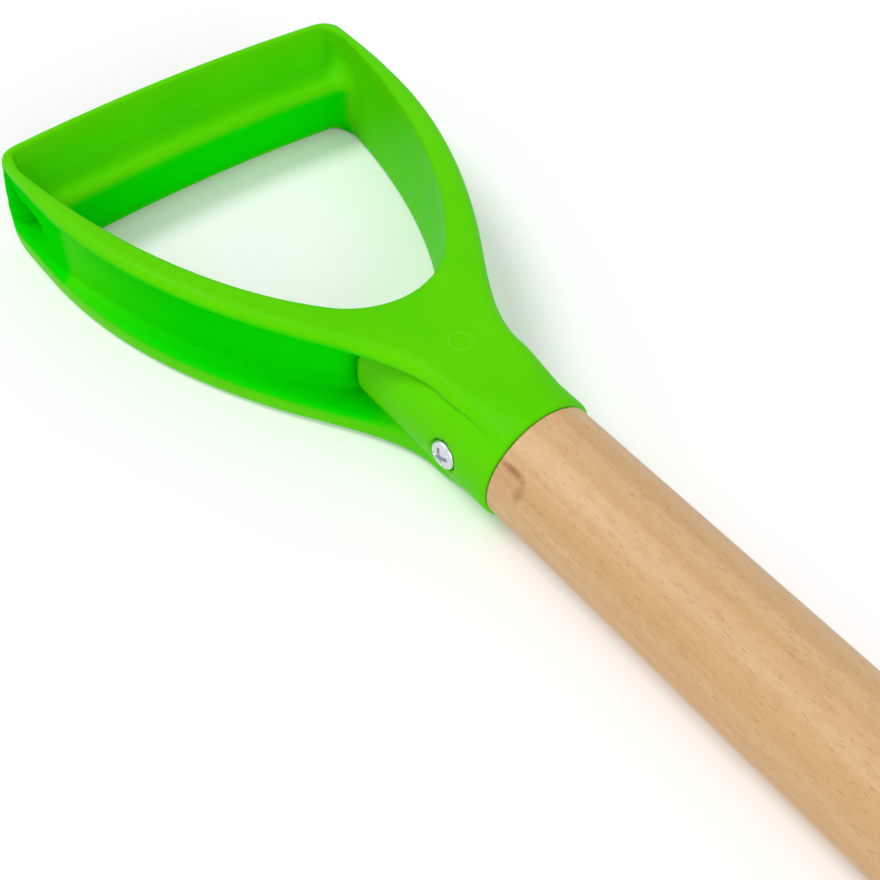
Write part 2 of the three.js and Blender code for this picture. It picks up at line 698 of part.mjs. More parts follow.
// Half of a row, from its middle to its tip, with the tread that turns up along the shoulder.
function halfRow(row) {
  const { middle, tip, opened, tread } = row;
  const arch = archPoints(row);
  const wing = wingPoints(row, arch.at(-1));
  const points = [...arch, ...wing.points];
  const step = mix(SHEET_THICKNESS, TREAD_HEIGHT, tread) / TREAD_STEPS;
  for (let k = 1; k <= TREAD_STEPS; k += 1) {
    const bent = tread * Math.min(k / TREAD_BEND_STEPS, 1);
    const turn = mix(wing.endTurn, Math.PI / 2, bent);
    const before = points.at(-1);
    points.push(new THREE.Vector2(before.x + step * Math.cos(turn), before.y + step * Math.sin(turn)));
  }
  const last = points.length - 1;
  return points.map((point, k) => {
    const share = mix(k / last, point.x / points[last].x, opened);
    return new THREE.Vector3(mix(middle, tip, share ** 2), point.x, point.y);
  });
}

// The sheet's middle surface, row by row from one edge to the other.
function bladeGrid() {
  return bladeRows().map((row) => {
    const half = halfRow(row);
    const other = half.slice(1).reverse().map((point) => new THREE.Vector3(point.x, -point.y, point.z));
    return [...other, ...half];
  });
}

// The sheet gets its thickness along its own normals, and thins to the cutting edge.
function blade() {
  const grid = bladeGrid();
  const rows = grid.length;
  const columns = grid[0].length;
  const at = (r, c) => grid[clamp(r, 0, rows - 1)][clamp(c, 0, columns - 1)];
  const skins = [1, -1].map((side) => grid.flatMap((row, r) => row.map((point, c) => {
    const along = new THREE.Vector3().subVectors(at(r + 1, c), at(r - 1, c));
    const across = new THREE.Vector3().subVectors(at(r, c + 1), at(r, c - 1));
    const normal = along.cross(across).normalize();
    const thickness = r === rows - 1 ? CUTTING_THICKNESS : SHEET_THICKNESS;
    return point.clone().addScaledVector(normal, side * thickness / 2);
  })));
  const under = rows * columns;
  const index = [];
  for (let r = 0; r + 1 < rows; r += 1) {
    for (let c = 0; c + 1 < columns; c += 1) {
      const a = r * columns + c;
      const b = a + columns;
      index.push(a, b, b + 1, a, b + 1, a + 1);
      index.push(under + a, under + b + 1, under + b, under + a, under + a + 1, under + b + 1);
    }
  }
  const border = [];
  for (let c = 0; c < columns; c += 1) border.push(c);
  for (let r = 1; r < rows; r += 1) border.push(r * columns + columns - 1);
  for (let c = columns - 2; c >= 0; c -= 1) border.push((rows - 1) * columns + c);
  for (let r = rows - 2; r > 0; r -= 1) border.push(r * columns);
  border.forEach((a, i) => {
    const b = border[(i + 1) % border.length];
    index.push(a, b, under + b, a, under + b, under + a);
  });
  const sheet = skinOf(skins.flat().flatMap((point) => point.toArray()), index);
  return solidOf(sheet.translate(SHAFT_SHOWING, 0, 0)).subtract(bladeScrewHole());
}

// Assembly

function material(colour, roughness, metalness) {
  return new THREE.MeshStandardMaterial({ color: colour, roughness, metalness });
}

function named(name, geometry, finish) {
  const mesh = new THREE.Mesh(geometry, finish);
  mesh.name = name;
  return mesh;
}

const greenPlastic = material(0x3fd400, 0.4, 0);
const wood = material(0xdcb588, 0.6, 0);
const steel = material(0xb8bcc0, 0.35, 1);
const greenPaint = material(0x38c400, 0.45, 0);

const handleScrew = named('handle_screw', screwGeometry(), steel);
handleScrew.rotation.x = Math.PI / 2;
handleScrew.position.set(-HANDLE_SCREW_INSET, -handleSeat, 0);

const bladeScrew = named('blade_screw', screwGeometry(), steel);
bladeScrew.position.set(SHAFT_SHOWING + BLADE_SCREW_INSET, 0, bladeSeat);

const spade = new THREE.Group();
spade.add(named('d_handle', geometryOf(dHandle()), greenPlastic));
spade.add(named('shaft', geometryOf(shaft()), wood));
spade.add(named('blade', geometryOf(blade()), greenPaint));
spade.add(handleScrew);
spade.add(bladeScrew);
spade.position.set(palmReach - totalLength / 2, 0, halfHeight);

export default spade;
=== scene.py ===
"""Looks of a children's spade: moulded D-handle, wooden shaft, pressed steel blade and two screws.

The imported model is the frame. Each piece is worked out with numpy in millimetres in the handle's own frame, whose
origin is the middle of the socket's mouth, with +X along the shaft towards the blade and +Z up, and is put into
the row's frame in metres.
"""

from __future__ import annotations

import itertools
import logging
import math
from dataclasses import dataclass, field
from enum import Enum
from typing import Any

import bpy
import numpy as np
from mathutils import Matrix, Vector


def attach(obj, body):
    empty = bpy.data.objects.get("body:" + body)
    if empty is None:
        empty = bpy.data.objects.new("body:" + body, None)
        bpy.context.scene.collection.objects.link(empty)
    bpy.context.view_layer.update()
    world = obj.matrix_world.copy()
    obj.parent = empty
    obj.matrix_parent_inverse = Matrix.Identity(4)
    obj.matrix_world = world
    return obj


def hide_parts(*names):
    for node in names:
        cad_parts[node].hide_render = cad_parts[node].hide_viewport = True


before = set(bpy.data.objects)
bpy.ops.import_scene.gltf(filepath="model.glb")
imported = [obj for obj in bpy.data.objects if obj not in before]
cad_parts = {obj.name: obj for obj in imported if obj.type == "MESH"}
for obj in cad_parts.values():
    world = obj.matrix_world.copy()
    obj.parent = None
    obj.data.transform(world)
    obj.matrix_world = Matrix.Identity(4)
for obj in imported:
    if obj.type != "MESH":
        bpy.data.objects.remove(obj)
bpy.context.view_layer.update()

LOG = logging.getLogger("spade")
BODY = "root"
MM = 0.001
# Name of the mesh attribute that carries the handle's painted shade.
PAINTED_SHADE = "recess"
HANDLE_ORIGIN = np.array([-221.5, 0.0, 13.0])
HANDLE_SCREW_SEAT = np.array([-11.6, -12.1, 0.0])
HANDLE_SCREW_TURN = 0.35
BLADE_SCREW_SEAT = np.array([352.5, 0.0, 12.9])


class Slot(Enum):
    """Names of material slots, which nothing in this script uses."""

    HANDLE = "handle_plastic"
    SHAFT = "shaft_wood"
    SCREW = "screw_steel"
    BLADE = "blade_paint"


# Arithmetic on arrays


def ease(t: np.ndarray) -> np.ndarray:
    """Smooth step of a share that is held between 0 and 1."""
    t = np.clip(t, 0.0, 1.0)
    return t * t * (3.0 - 2.0 * t)


def mix(a: Any, b: Any, share: Any) -> Any:
    """The value a share of the way from a to b."""
    return a + (b - a) * share


def linear(red: int, green: int, blue: int) -> tuple[float, float, float, float]:
    """A colour of 0 to 255 a channel as linear light, with an alpha of 1."""
    channel = np.array([red, green, blue]) / 255.0
    light = np.where(channel <= 0.04045, channel / 12.92, ((channel + 0.055) / 1.055) ** 2.4)
    return (*(float(value) for value in light), 1.0)


def round_max(a: np.ndarray, b: np.ndarray, radius: Any) -> np.ndarray:
    """What two signed distances have in common, with its outer edge rounded to a radius."""
    corner = np.hypot(np.maximum(a + radius, 0.0), np.maximum(b + radius, 0.0))
    return np.minimum(np.maximum(a, b), -radius) + corner


def round_min(a: np.ndarray, b: np.ndarray, radius: Any) -> np.ndarray:
    """Two signed distances joined, with a fillet of a radius in the inner corner."""
    return -round_max(-a, -b, radius)


def bezier(start: np.ndarray, start_turn: float, start_pull: float,
           end: np.ndarray, end_turn: float, end_pull: float, steps: int) -> np.ndarray:
    """A smooth stretch between two points, each with its direction.

    A cubic curve: its two inner points lie along the directions, a pull's share of the chord away from the ends.

    Args:
        start, end: the two points.
        start_turn, end_turn: the directions at them, in radians.
        start_pull, end_pull: shares of the chord.
        steps: how many spans the curve is cut into.

    Returns:
        The points of the curve, one a row.
    """
    chord = float(np.linalg.norm(end - start))
    first = start + start_pull * chord * np.array([math.cos(start_turn), math.sin(start_turn)])
    second = end - end_pull * chord * np.array([math.cos(end_turn), math.sin(end_turn)])
    t = np.linspace(0.0, 1.0, steps + 1)[:, None]
    s = 1.0 - t
    return s**3 * start + 3 * s**2 * t * first + 3 * s * t**2 * second + t**3 * end


def joined(*curves: np.ndarray) -> np.ndarray:
    """Curves one after another, without the points that they share."""
    return np.vstack([curves[0], *(curve[1:] for curve in curves[1:])])


def outline_distance(x: np.ndarray, y: np.ndarray, edge: np.ndarray) -> np.ndarray:
    """Signed distance to half of an outline that its mirror image in y = 0 completes, negative inside.

    The distance is the least over the edge's spans, and a point is inside where a ray along +X crosses the edge
    an odd number of times.

    Args:
        x, y: places, in two arrays of one shape, with y at least 0.
        edge: the half outline's points, from the centre plane back to it.

    Returns:
        The distances, in that shape.
    """
    point = np.stack([x.ravel(), y.ravel()], 1)[:, None, :]
    start, span = edge[:-1], np.diff(edge, axis=0)
    away = point - start
    share = np.clip((away * span).sum(2) / (span**2).sum(1), 0.0, 1.0)
    distance = np.linalg.norm(away - share[..., None] * span, axis=2).min(1)
    y_start, y_end = edge[:-1, 1], edge[1:, 1]
    level = point[..., 1] + 1e-7
    straddles = (y_start <= level) != (y_end <= level)
    rise = np.where(span[:, 1] == 0.0, 1.0, span[:, 1])
    crossing = start[:, 0] + (level - y_start) / rise * span[:, 0]
    inside = (straddles & (crossing > point[..., 0])).sum(1) % 2 == 1
    return np.where(inside, -distance, distance).reshape(x.shape)


# Meshes


def mesh_piece(name: str, points: np.ndarray, quads: np.ndarray,
               sharp: float | None = None) -> bpy.types.Object:
    """An object from points in the handle's frame and faces of four corners, smooth but for sharp edges.

    Args:
        name: the piece's name.
        points: its corners in millimetres, one a row.
        quads: four corner numbers a row; a corner may stand twice, which makes a triangle.
        sharp: the angle in degrees from which an edge is sharp, or None.

    Returns:
        The object, linked to the scene, at the origin.
    """
    repeated = quads == np.roll(quads, -1, axis=1)
    keep = ~repeated
    corners = quads[keep]
    sizes = keep.sum(1)
    mesh = bpy.data.meshes.new(name)
    mesh.vertices.add(len(points))
    mesh.vertices.foreach_set("co", ((points + HANDLE_ORIGIN) * MM).astype(np.float32).ravel())
    mesh.loops.add(len(corners))
    mesh.loops.foreach_set("vertex_index", corners.astype(np.int32))
    mesh.polygons.add(len(quads))
    starts = np.concatenate([[0], np.cumsum(sizes)[:-1]])
    mesh.polygons.foreach_set("loop_start", starts.astype(np.int32))
    mesh.update(calc_edges=True)
    mesh.validate()
    mesh.shade_smooth()
    if sharp is not None:
        mesh.set_sharp_from_angle(angle=math.radians(sharp))
    piece = bpy.data.objects.new(name, mesh)
    bpy.context.scene.collection.objects.link(piece)
    return piece


def grid_quads(rows: int, columns: int, round_rows: bool = False, round_columns: bool = False) -> np.ndarray:
    """The faces of a grid of points, row after row.

    Args:
        rows, columns: how many points it has each way.
        round_rows, round_columns: whether its last row or column joins the first.

    Returns:
        Four corner numbers a face.
    """
    r = np.arange(rows if round_rows else rows - 1)[:, None]
    c = np.arange(columns if round_columns else columns - 1)[None, :]
    r_next, c_next = (r + 1) % rows, (c + 1) % columns
    corners = [r * columns + c, r_next * columns + c, r_next * columns + c_next, r * columns + c_next]
    return np.stack(np.broadcast_arrays(*corners), -1).reshape(-1, 4)


def surface_nets(values: np.ndarray, origin: np.ndarray, step: float) -> tuple[np.ndarray, np.ndarray]:
    """The surface where a field on a grid is zero, as faces of four corners.

    Each cell that the surface crosses has one corner, at the mean of the crossings on its edges, which then slides
    down the field's slope onto the surface. Each grid edge that it crosses has one face, between the four cells
    around it.

    Args:
        values: the field, negative inside.
        origin: the place of its first node.
        step: the distance between nodes.

    Returns:
        The corners' places and the faces.
    """
    size = np.array(values.shape) - 1
    corner = np.array(list(itertools.product((0, 1), repeat=3)))
    pairs = [(a, b) for a in range(8) for b in range(a) if np.abs(corner[a] - corner[b]).sum() == 1]
    first, second = np.array(pairs).T
    windows = [values[i:i + size[0], j:j + size[1], k:k + size[2]] < 0 for i, j, k in corner]
    filled = np.sum(windows, axis=0)
    active = (filled > 0) & (filled < 8)
    cells = np.argwhere(active)
    value = np.stack([values[tuple((cells + offset).T)] for offset in corner], 1)
    a, b = value[:, first], value[:, second]
    crossed = (a < 0) != (b < 0)
    share = np.where(crossed, a / np.where(crossed, a - b, 1.0), 0.0)
    place = corner[first] + share[..., None] * (corner[second] - corner[first])
    points = (place * crossed[..., None]).sum(1) / crossed.sum(1)[:, None] + cells

    slope = np.stack(np.gradient(values), -1)
    for _ in range(3):
        here, fall = sampled(values, points), sampled(slope, points)
        points = points - fall * (here / np.maximum((fall**2).sum(1), 1e-9))[:, None] * 0.9

    number = np.full(size, -1)
    number[active] = np.arange(len(cells))
    inside = values < 0
    faces = []
    for axis in range(3):
        low, high = np.take(inside, range(size[axis]), axis), np.take(inside, range(1, size[axis] + 1), axis)
        nodes = np.argwhere(low != high)
        others = [(axis + 1) % 3, (axis + 2) % 3]
        nodes = nodes[np.all((nodes[:, others] > 0) & (nodes[:, others] < size[others]), axis=1)]
        back = np.eye(3, dtype=int)[others]
        pin_ring_highlight = [nodes, nodes - back[0], nodes - back[0] - back[1], nodes - back[1]]
        quad = np.stack([number[tuple(cell.T)] for cell in pin_ring_highlight], 1)
        outwards = low[tuple(nodes.T)]
        faces.append(np.where(outwards[:, None], quad, quad[:, ::-1]))
    return points * step + origin, np.vstack(faces)


def sampled(values: np.ndarray, points: np.ndarray) -> np.ndarray:
    """A grid's values at places between its nodes, mixed from the eight nodes around each."""
    base = np.clip(np.floor(points).astype(int), 0, np.array(values.shape[:3]) - 2)
    share = points - base
    total = 0.0
    for offset in itertools.product((0, 1), repeat=3):
        weight = np.where(np.array(offset) == 1, share, 1.0 - share).prod(1)
        found = values[tuple((base + offset).T)]
        total = total + found * (weight if found.ndim == 1 else weight[:, None])
    return total


# Materials


class Wire:
    """A node's output. Arithmetic on it adds Math nodes."""

    def __init__(self, graph: Graph, socket: bpy.types.NodeSocket) -> None:
        """Keeps the socket and the graph that it is in."""
        self.graph = graph
        self.socket = socket

    def __add__(self, other: Wire | float) -> Wire:
        """Sum."""
        return self.graph.math("ADD", self, other)

    def __sub__(self, other: Wire | float) -> Wire:
        """Difference."""
        return self.graph.math("SUBTRACT", self, other)

    def __mul__(self, other: Wire | float) -> Wire:
        """Product."""
        return self.graph.math("MULTIPLY", self, other)

    def __truediv__(self, other: Wire | float) -> Wire:
        """Quotient."""
        return self.graph.math("DIVIDE", self, other)

    def __rsub__(self, other: float) -> Wire:
        """Difference from a number."""
        return self.graph.math("SUBTRACT", other, self)

    __radd__ = __add__
    __rmul__ = __mul__

    def between(self, low: float, high: float) -> Wire:
        """0 below a low value, 1 above a high one, and smooth between them."""
        settings = {"interpolation_type": "SMOOTHSTEP"}
        return self.graph.node("ShaderNodeMapRange", settings, {0: self, 1: low, 2: high})


class Graph:
    """The nodes of one material or of the world."""

    def __init__(self, owner: bpy.types.Material | bpy.types.World) -> None:
        """Empties the owner's nodes and keeps them."""
        owner.use_nodes = True
        self.tree = owner.node_tree
        self.tree.nodes.clear()

    def node(self, kind: str, settings: dict[str, Any] | None = None,
             inputs: dict[int | str, Any] | None = None, output: int | str = 0) -> Wire:
        """Adds a node.

        Args:
            kind: its type.
            settings: its own settings, set first.
            inputs: a value or a wire for each socket.
            output: the output to return.

        Returns:
            That output.
        """
        made = self.tree.nodes.new(kind)
        for key, value in (settings or {}).items():
            setattr(made, key, value)
        for key, value in (inputs or {}).items():
            if isinstance(value, Wire):
                self.tree.links.new(value.socket, made.inputs[key])
            else:
                made.inputs[key].default_value = value
        return Wire(self, made.outputs[output]) if made.outputs else None

    def math(self, operation: str, a: Wire | float, b: Wire | float) -> Wire:
        """A Math node of two values."""
        return self.node("ShaderNodeMath", {"operation": operation}, {0: a, 1: b})

    def mix(self, share: Wire | float, a: Any, b: Any) -> Wire:
        """A colour a share of the way from a to b."""
        return self.node("ShaderNodeMix", {"data_type": "RGBA"}, {0: share, 6: a, 7: b}, 2)

    def place(self, scale: tuple[float, float, float] = (1.0, 1.0, 1.0),
              shift: tuple[float, float, float] = (0.0, 0.0, 0.0)) -> Wire:
        """Object coordinates, moved so that shift is at the origin and then scaled."""
        here = self.node("ShaderNodeTexCoord", output="Object")
        moved = self.node("ShaderNodeVectorMath", {"operation": "SUBTRACT"}, {0: here, 1: shift})
        return self.node("ShaderNodeVectorMath", {"operation": "MULTIPLY"}, {0: moved, 1: scale})

    def length(self, where: Wire) -> Wire:
        """A place's distance from the origin."""
        return self.node("ShaderNodeVectorMath", {"operation": "LENGTH"}, {0: where}, "Value")

    def noise(self, where: Wire, scale: float, detail: float = 2.0, roughness: float = 0.5) -> Wire:
        """Noise about 0.5 at a place."""
        inputs = {"Vector": where, "Scale": scale, "Detail": detail, "Roughness": roughness}
        return self.node("ShaderNodeTexNoise", None, inputs, 0)

    def bump(self, height: Wire, strength: float, distance: float) -> Wire:
        """A normal that follows a height."""
        return self.node("ShaderNodeBump", None, {"Strength": strength, "Distance": distance, "Height": height})

    def shade(self, **inputs: Any) -> Wire:
        """A Principled shader, whose sockets' names have spaces where these have underscores."""
        named = {key.replace("_", " "): value for key, value in inputs.items()}
        return self.node("ShaderNodeBsdfPrincipled", None, named)

    def surface(self, shader: Wire) -> None:
        """Sends a shader to the material's output."""
        self.node("ShaderNodeOutputMaterial", None, {"Surface": shader})


@dataclass(frozen=True)
class MouldedPlastic:
    """Semi-gloss green plastic with flow marks and small scuffs, painted shade that makes it deeper green and matte
    in the recesses, and a painted highlight on a mould pin's ring.
    """

    fresh: tuple = linear(90, 214, 0)
    pale: tuple = linear(98, 218, 0)
    # Colour of the painted shade: the deeper green that the recesses show in shade.
    deep: tuple = linear(8, 218, 2)
    # Lighter colour of the scuffs, and of the painted highlight on the mould pin's ring.
    scuff_and_highlight: tuple = linear(140, 228, 60)
    pin_mark: tuple = (-0.2442, -0.0004, 0.026)
    pin_radius: float = 0.0022
    ring_width: float = 0.0004

    def material(self) -> bpy.types.Material:
        """The finish as a material."""
        made = bpy.data.materials.new("moulded_plastic")
        graph = Graph(made)
        here = graph.place()
        flow = graph.noise(graph.place((30.0, 60.0, 60.0)), 1.0, 3.0)
        grain = graph.noise(here, 2600.0, 2.0)
        scratches = graph.noise(graph.place((900.0, 260.0, 700.0)), 1.0, 4.0, 0.7)
        worn = scratches.between(0.72, 0.8) * graph.noise(here, 45.0).between(0.5, 0.62)
        # Painted shade: the attribute's share turns the colour towards the deep green and the shader towards a
        # matte one without sheen, in the recesses.
        recess = graph.node("ShaderNodeAttribute", {"attribute_name": PAINTED_SHADE}, None, "Fac")
        colour = graph.mix(flow.between(0.3, 0.7), self.fresh, self.pale)
        colour = graph.mix(recess, colour, self.deep)
        colour = graph.mix(worn * 0.5, colour, self.scuff_and_highlight)
        # Painted highlight: a lighter ring where the mould pin's raised ring catches the light.
        from_pin = graph.length(graph.place(shift=self.pin_mark)) - self.pin_radius
        pin_ring_highlight = (1.0 - graph.math("ABSOLUTE", from_pin, 0.0) / self.ring_width).between(0.0, 1.0)
        colour = graph.mix(pin_ring_highlight * flow * 0.45, colour, self.scuff_and_highlight)
        roughness = 0.36 + 0.1 * graph.noise(here, 160.0, 3.0) + 0.15 * worn
        normal = graph.bump(grain + 0.6 * flow, 0.1, 0.0002)
        glossy = graph.shade(Base_Color=colour, Roughness=roughness, Normal=normal, Specular_IOR_Level=0.04)
        matte = graph.shade(Base_Color=colour, Roughness=0.8, Normal=normal, Specular_IOR_Level=0.0)
        graph.surface(graph.node("ShaderNodeMixShader", None, {0: recess, 1: glossy, 2: matte}))
        return made


@dataclass(frozen=True)
class VarnishedWood:
    """Pale satin-varnished hardwood: rings, streaks and pores along the shaft, and a flaw by the socket.

    Each of the flaw's three marks has its middle and its half axes, in metres.
    """

    pale: tuple = linear(222, 182, 133)
    warm: tuple = linear(210, 166, 113)
    streak: tuple = linear(188, 138, 88)
    pore: tuple = linear(172, 122, 78)
    flaw: tuple = linear(148, 88, 48)
    bruise: tuple = linear(206, 146, 114)
    bruised_mark: tuple = ((-0.2184, -0.0119, 0.0168), (0.003, 0.004, 0.004))
    crack_mark: tuple = ((-0.2179, -0.0098, 0.0209), (0.0034, 0.0011, 0.0011))
    bend_mark: tuple = ((-0.2148, -0.0111, 0.0184), (0.0013, 0.0032, 0.0032))

    def spot(self, graph: Graph, mark: tuple, ragged: Wire) -> Wire:
        """A ragged spot: 1 in the mark's middle and 0 outside its ellipsoid."""
        middle, size = mark
        near = graph.place(tuple(1.0 / value for value in size), middle)
        return (1.0 - graph.length(near) + 1.1 * (ragged - 0.5)).between(-0.2, 0.9)

    def material(self) -> bpy.types.Material:
        """The finish as a material."""
        made = bpy.data.materials.new("varnished_wood")
        graph = Graph(made)
        wander = graph.noise(graph.place((9.0, 60.0, 60.0)), 1.0, 2.0)
        rings = graph.noise(graph.place((5.0, 330.0, 330.0)), 1.0, 3.0)
        fibre = graph.noise(graph.place((60.0, 1900.0, 1900.0)), 1.0, 3.0, 0.6)
        cloud = graph.noise(graph.place((260.0, 700.0, 700.0)), 1.0, 3.0, 0.6)
        pores = graph.noise(graph.place((700.0, 3600.0, 3600.0)), 1.0, 1.0).between(0.62, 0.74)
        colour = graph.mix((0.55 * rings + 0.45 * wander).between(0.34, 0.66), self.pale, self.warm)
        colour = graph.mix(fibre.between(0.5, 0.75) * 0.2, colour, self.streak)
        colour = graph.mix(cloud.between(0.45, 0.75) * 0.3, colour, self.streak)
        colour = graph.mix(pores * 0.45, colour, self.pore)
        ragged = graph.noise(graph.place((330.0, 700.0, 700.0)), 1.0, 3.0)
        colour = graph.mix(self.spot(graph, self.bruised_mark, ragged) * 0.45, colour, self.bruise)
        colour = graph.mix(self.spot(graph, self.bend_mark, ragged) * 0.45, colour, self.flaw)
        colour = graph.mix(self.spot(graph, self.crack_mark, ragged) * 0.75, colour, self.flaw)
        roughness = 0.42 + 0.14 * fibre + 0.1 * pores
        normal = graph.bump(fibre - 1.2 * pores, 0.15, 0.0002)
        graph.surface(graph.shade(
            Base_Color=colour, Roughness=roughness, Normal=normal, Coat_Weight=0.12, Coat_Roughness=0.3))
        return made


@dataclass(frozen=True)
class ZincPlate:
    """Bright zinc plate with a slightly cloudy surface."""

    bright: tuple = linear(226, 228, 236)
    cloudy: tuple = linear(196, 198, 210)

    def material(self) -> bpy.types.Material:
        """The finish as a material."""
        made = bpy.data.materials.new("zinc_plate")
        graph = Graph(made)
        cloud = graph.noise(graph.place(), 900.0, 3.0)
        colour = graph.mix(cloud, self.bright, self.cloudy)
        normal = graph.bump(graph.noise(graph.place(), 3000.0), 0.1, 0.0001)
        graph.surface(graph.shade(Base_Color=colour, Roughness=0.22 + 0.2 * cloud, Metallic=1.0, Normal=normal))
        return made


@dataclass(frozen=True)
class PowderCoat:
    """Green powder coat with the fine orange peel of baked paint."""

    coat: tuple = linear(76, 207, 2)
    deep: tuple = linear(70, 202, 2)

    def material(self) -> bpy.types.Material:
        """The finish as a material."""
        made = bpy.data.materials.new("powder_coat")
        graph = Graph(made)
        here = graph.place()
        peel = graph.noise(here, 700.0, 2.0)
        tone = graph.noise(here, 25.0, 3.0)
        colour = graph.mix(tone.between(0.3, 0.7), self.deep, self.coat)
        normal = graph.bump(peel, 0.18, 0.0003)
        graph.surface(graph.shade(
            Base_Color=colour, Roughness=0.36 + 0.15 * peel, Normal=normal, Specular_IOR_Level=0.06))
        return made


# Pieces


@dataclass
class DHandle:
    """The one-piece moulding: socket, yoke, two arms that are channels, and a cored grip.

    Its shape is a field of signed distances on a grid, made of plan outlines, tubes and rounds that are joined and
    cut with rounded edges.
    """

    bore_radius: float = 11.3
    bore_depth: float = 33.3
    tube_radius: float = 13.3
    half_height: float = 13.0
    socket_crease: float = 0.35
    mouth_round: float = 0.7
    yoke_half: float = 10.15
    yoke_start: float = 17.0
    crease_height: float = 9.5
    hole_apex: float = 38.8
    arm_setback: float = 6.2
    arm_spread: float = 23.6
    arm_width: float = 9.5
    arm_turn: float = math.radians(31.9)
    wall_turn: float = math.radians(42.7)
    wall_end_turn: float = math.radians(6.0)
    widest_reach: float = 108.0
    upper_flange: float = 3.1
    lower_flange: float = 5.6
    edge_places: tuple = (0.0, 17.0, 34.0, 60.0, 100.0, 119.0)
    upper_rounds: tuple = (1.6, 2.9, 2.8, 2.6, 2.2, 0.7)
    lower_rounds: tuple = (1.6, 2.4, 2.0, 1.6, 1.4, 0.7)
    wall: float = 1.6
    grip_reach: float = 126.5
    grip_half: float = 43.5
    grip_bow: float = 2.0
    grip_corner: float = 4.6
    low_corner: float = 2.6
    corner_tuck: float = 0.2
    crease_reach: float = 116.8
    crease_turn: float = math.radians(22.0)
    rim: float = 1.7
    inner_round: float = 0.7
    grip_depth: float = 11.0
    grip_fillet: float = 5.0
    under_round: float = 7.0
    ledge_height: float = 2.5
    ledge_round: float = 3.0
    palm_crown: float = 3.0
    palm_depth: float = 7.0
    palm_height: float = 8.0
    core_depth: float = 8.0
    core_draft: float = 1.4
    shell: float = 1.4
    channel_fillet: float = 1.2
    lip_round: float = 0.6
    tube_fillet: float = 0.3
    screw_inset: float = 11.6
    screw_hole: float = 1.9
    screw_sink: float = 11.9
    sink_radius: float = 3.35
    # How far the painted shade of the recesses fades out from their faces.
    painted_shade_fade: float = 1.3
    # Where along the webs, towards the grip, the painted shade lessens, and by how much: painted light where the
    # wall is thin.
    web_start: float = 65.0
    web_end: float = 102.5
    web_painted_light: float = 0.45
    step: float = 0.58
    spans: int = 24

    def __post_init__(self) -> None:
        """Works out the sizes that follow from the others."""
        self.corner_half = self.grip_half - self.corner_tuck
        self.grip_end = self.corner_half - self.grip_corner
        self.end_reach = self.grip_reach - self.grip_bow
        self.corner_reach = self.end_reach - self.grip_corner
        self.palm_reach = self.grip_reach + self.palm_crown
        self.channel_half = self.half_height - (self.upper_flange + self.lower_flange) / 2
        self.channel_middle = (self.lower_flange - self.upper_flange) / 2
        self.bow_turn = 1.5 * math.pi - math.atan(2 * self.grip_bow / self.grip_end)

    def bow(self, y: np.ndarray) -> np.ndarray:
        """How far a place across the grip lies behind its middle: a parabola."""
        return self.grip_bow * (y / self.grip_end) ** 2

    def outer_edge(self, corner_round: float) -> np.ndarray:
        """One arm's outer edge from the yoke round the corner to the grip's middle: five smooth stretches."""
        yoke = np.array([-self.yoke_start, self.yoke_half])
        arm = np.array([-self.hole_apex - self.arm_setback, self.arm_spread])
        widest = np.array([-self.widest_reach, self.grip_half])
        corner = np.array([corner_round - self.end_reach, self.corner_half])
        end = np.array([-self.end_reach, self.corner_half - corner_round])
        middle = np.array([-self.grip_reach, 0.0])
        arm_turn = math.pi - self.arm_turn
        tuck = math.pi + math.atan(2 * self.corner_tuck / (self.corner_reach - self.widest_reach))
        return joined(
            bezier(yoke, math.pi, 0.29, arm, arm_turn, 0.33, self.spans),
            bezier(arm, arm_turn, 0.29, widest, math.pi, 0.38, self.spans),
            bezier(widest, math.pi, 0.33, corner, tuck, 0.33, self.spans // 4),
            bezier(corner, tuck, 0.38, end, self.bow_turn, 0.38, self.spans // 2),
            bezier(end, self.bow_turn, 0.33, middle, 1.5 * math.pi, 0.33, self.spans // 2))

    def opening_edge(self) -> np.ndarray:
        """Half of the hand opening: its rounded apex, one arm's wall, its corner and the rim's inner face."""
        apex = np.array([-self.hole_apex, 0.0])
        side = np.array([-self.hole_apex - self.arm_setback, self.arm_spread - self.arm_width])
        far = np.array([-self.crease_reach, self.corner_half - self.rim])
        end = np.array([self.rim - self.end_reach, self.grip_end])
        middle = np.array([self.rim - self.grip_reach, 0.0])
        side_turn = math.pi - self.wall_turn
        return joined(
            bezier(apex, math.pi / 2, 0.38, side, side_turn, 0.29, self.spans),
            bezier(side, side_turn, 0.29, far, math.pi - self.wall_end_turn, 0.38, self.spans),
            bezier(far, math.pi + self.crease_turn, 0.38, end, self.bow_turn, 0.38, self.spans // 2),
            bezier(end, self.bow_turn, 0.33, middle, 1.5 * math.pi, 0.33, self.spans // 2))

    def swell(self, height: np.ndarray) -> np.ndarray:
        """How far the palm's side stands out behind the rim: a parabola, fullest where it rounds off below."""
        fullest = self.palm_height - self.half_height
        share = np.clip((height - fullest) / (self.half_height - fullest), 0.0, 1.0)
        return self.palm_crown * (1.0 - share**2)

